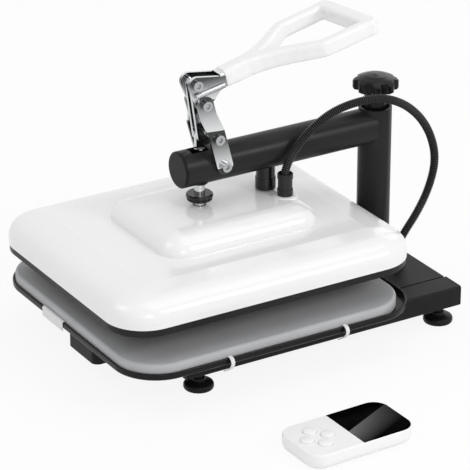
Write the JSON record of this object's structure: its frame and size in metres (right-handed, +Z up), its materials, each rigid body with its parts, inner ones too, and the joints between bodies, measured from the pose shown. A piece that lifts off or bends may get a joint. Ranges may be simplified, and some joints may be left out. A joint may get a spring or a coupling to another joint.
{
  "type": "swing-away heat press",
  "caption": "Benchtop heat press with a white heated platen on a swinging arm, a padded lower tray, a cranked lever with a loop handle and a separate control box.",
  "frame": {"origin": "middle of the outline on the table, conduit not counted", "axes": "+X to the operator's right, +Y back towards the column, +Z up"},
  "size_m": [0.5496, 0.5024, 0.3794],
  "materials": {
    "frame_black": "satin black powder coat",
    "tray_black": "semi-gloss black",
    "plastic_black": "fine-textured black",
    "switch_red": "gloss red",
    "pad_grey": "matte grey silicone",
    "conduit_black": "ribbed satin black",
    "shell_white": "gloss white",
    "key_white": "soft white",
    "tag_white": "woven white",
    "screen_dark": "gloss black",
    "chrome": "bright",
    "steel": "brushed",
    "bronze": "turned bronze",
    "plate_dark": "dark non-stick coating",
    "board_white": "matte fibre board",
    "board_green": "solder mask"
  },
  "bodies": {
    "base": {"rear_crossbox": "frame_black", "box_cover": "frame_black", "base_screws": "steel", "side_rail_left": "frame_black", "side_rail_right": "frame_black", "rail_end_caps": "plastic_black", "front_channel": "frame_black", "lower_tray": "tray_black", "silicone_pad": "pad_grey", "pad_straps": "tag_white", "rim_label": "tag_white", "column_flange": "frame_black", "pivot_post": "steel", "thrust_washer": "bronze", "control_board": "board_green", "power_inlet": "plastic_black", "base_gland": "plastic_black", "conduit": "conduit_black"},
    "front_left_foot": {"foot_front_left": "plastic_black"},
    "front_right_foot": {"foot_front_right": "plastic_black"},
    "rear_left_foot": {"foot_rear_left": "plastic_black"},
    "rear_right_foot": {"foot_rear_right": "plastic_black"},
    "switch": {"rocker_switch": "switch_red"},
    "knob": {"star_knob": "plastic_black"},
    "arm": {"column_tube": "frame_black", "column_bushes": "bronze", "arm_tube": "frame_black", "arm_end_cap": "plastic_black", "rod_bush": "bronze", "guide_sleeve": "plastic_black", "bracket_left": "chrome", "bracket_right": "chrome", "bracket_bolts": "chrome", "pivot_bolts": "chrome"},
    "lever": {"lever_fork": "chrome", "crank_bolts": "chrome", "handle_grip": "shell_white"},
    "link": {"toggle_link": "chrome"},
    "platen": {"pressure_rod": "chrome", "guide_rod": "chrome", "rod_mount_plate": "steel", "platen_screws": "steel", "platen_housing": "shell_white", "centre_cover": "shell_white", "heating_plate": "plate_dark", "heating_element": "steel", "insulation_board": "board_white", "thermocouple": "steel", "thermal_cutout": "plastic_black", "platen_gland": "plastic_black"},
    "nut": {"pressure_nut": "plastic_black"},
    "controller": {"controller_base": "shell_white", "controller_top": "shell_white", "controller_screen": "screen_dark", "controller_board": "board_green"},
    "key_front": {"button_front": "key_white"},
    "key_rear": {"button_rear": "key_white"},
    "key_left": {"button_left": "key_white"},
    "key_right": {"button_right": "key_white"}
  },
  "joints": [
    {"name": "arm_swing", "type": "hinge", "parent": "base", "child": "arm", "pos_m": [-0.09301, 0.20125, 0.21795], "axis": [0, 0, 1], "range_deg": [-90, 45], "deforming": ["conduit"]},
    {"name": "handle_swing", "type": "hinge", "parent": "arm", "child": "lever", "pos_m": [-0.09301, -0.04625, 0.299], "axis": [1, 0, 0], "range_deg": [0, 91.8], "deforming": ["conduit"]},
    {"name": "press_slide", "type": "slide", "parent": "arm", "child": "platen", "axis": [0, 0, -1], "range_m": [0, 0.03172], "deforming": ["conduit"]},
    {"name": "link_swing", "type": "hinge", "parent": "platen", "child": "link", "pos_m": [-0.09301, -0.04625, 0.256], "axis": [1, 0, 0], "range_deg": [0, 13.13]},
    {"name": "nut_turn", "type": "hinge", "parent": "platen", "child": "nut", "pos_m": [-0.09301, -0.04625, 0.1785], "axis": [0, 0, 1], "continuous": true},
    {"name": "knob_turn", "type": "hinge", "parent": "base", "child": "knob", "pos_m": [-0.09301, 0.20125, 0.27795], "axis": [0, 0, 1], "continuous": true},
    {"name": "switch_rock", "type": "hinge", "parent": "base", "child": "switch", "pos_m": [-0.13601, 0.22925, 0.0354], "axis": [0, 0, 1], "range_deg": [0, 16]},
    {"name": "controller_lift", "type": "slide", "parent": "base", "child": "controller", "axis": [0, 0, 1], "range_m": [0, 0.12]},
    {"name": "front_left_level", "type": "hinge", "parent": "base", "child": "front_left_foot", "pos_m": [-0.21751, -0.12175, 0.008], "axis": [0, 0, 1], "continuous": true},
    {"name": "front_right_level", "type": "hinge", "parent": "base", "child": "front_right_foot", "pos_m": [0.03149, -0.12175, 0.008], "axis": [0, 0, 1], "continuous": true},
    {"name": "rear_left_level", "type": "hinge", "parent": "base", "child": "rear_left_foot", "pos_m": [-0.21751, 0.21525, 0.008], "axis": [0, 0, 1], "continuous": true},
    {"name": "rear_right_level", "type": "hinge", "parent": "base", "child": "rear_right_foot", "pos_m": [0.03149, 0.21525, 0.008], "axis": [0, 0, 1], "continuous": true},
    {"name": "press_key_front", "type": "slide", "parent": "controller", "child": "key_front", "axis": [0, 0, -1], "range_m": [0, 0.0012], "stiffness_N_per_m": 400},
    {"name": "press_key_rear", "type": "slide", "parent": "controller", "child": "key_rear", "axis": [0, 0, -1], "range_m": [0, 0.0012], "stiffness_N_per_m": 400},
    {"name": "press_key_left", "type": "slide", "parent": "controller", "child": "key_left", "axis": [0, 0, -1], "range_m": [0, 0.0012], "stiffness_N_per_m": 400},
    {"name": "press_key_right", "type": "slide", "parent": "controller", "child": "key_right", "axis": [0, 0, -1], "range_m": [0, 0.0012], "stiffness_N_per_m": 400}
  ],
  "couplings": [
    {"joint": "press_slide", "follows": "handle_swing", "m_per_rad": 0.019785},
    {"joint": "link_swing", "follows": "handle_swing", "ratio": 0.14276}
  ]
}
